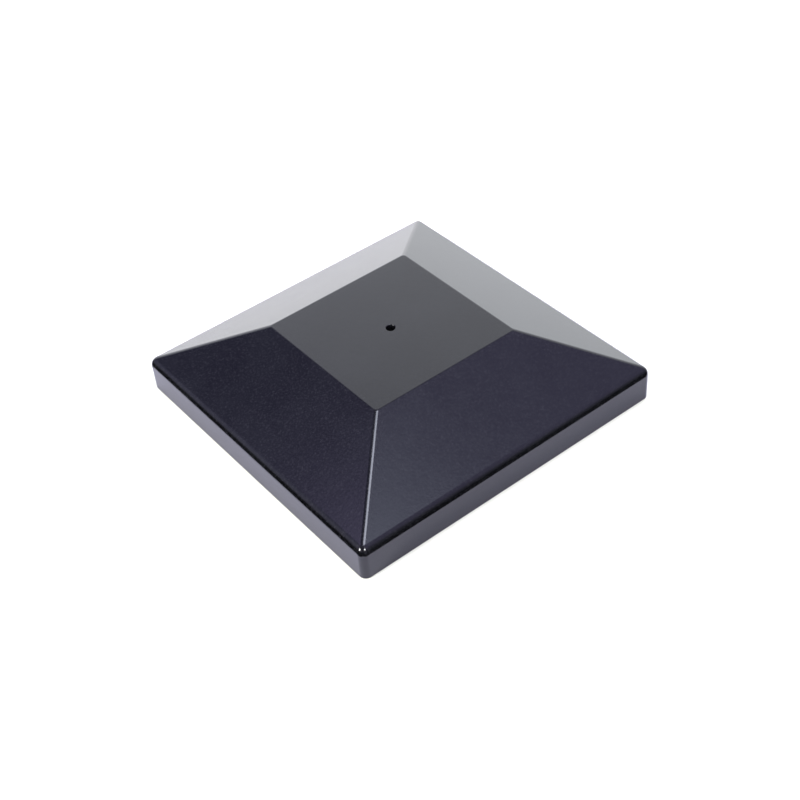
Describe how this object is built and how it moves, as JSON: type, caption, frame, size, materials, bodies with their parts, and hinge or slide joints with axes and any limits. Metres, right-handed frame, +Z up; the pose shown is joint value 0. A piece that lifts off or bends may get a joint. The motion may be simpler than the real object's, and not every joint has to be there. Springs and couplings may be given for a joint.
{
  "type": "fence post cap",
  "caption": "Square black cap for the top of a fence post, with a flat-topped hipped roof, a short skirt and a central screw hole.",
  "frame": {"origin": "centre of the skirt's bottom rim, on the plane that the cap stands on", "axes": "+Z up, out of the roof; +X and +Y along the square's sides, with -Y called the front"},
  "size_m": [0.16, 0.16, 0.037],
  "materials": {
    "shell_plastic": "smooth moulded black plastic, satin to semi-gloss",
    "sleeve_metal": "turned, plain",
    "foam_rubber": "matt closed-cell foam"
  },
  "bodies": {
    "root": {"cap_shell": "shell_plastic", "screw_sleeve": "sleeve_metal", "end_seal": "foam_rubber", "grip_pad_front_left": "foam_rubber", "grip_pad_front_right": "foam_rubber", "grip_pad_right_left": "foam_rubber", "grip_pad_right_right": "foam_rubber", "grip_pad_back_left": "foam_rubber", "grip_pad_back_right": "foam_rubber", "grip_pad_left_left": "foam_rubber", "grip_pad_left_right": "foam_rubber"}
  },
  "joints": []
}
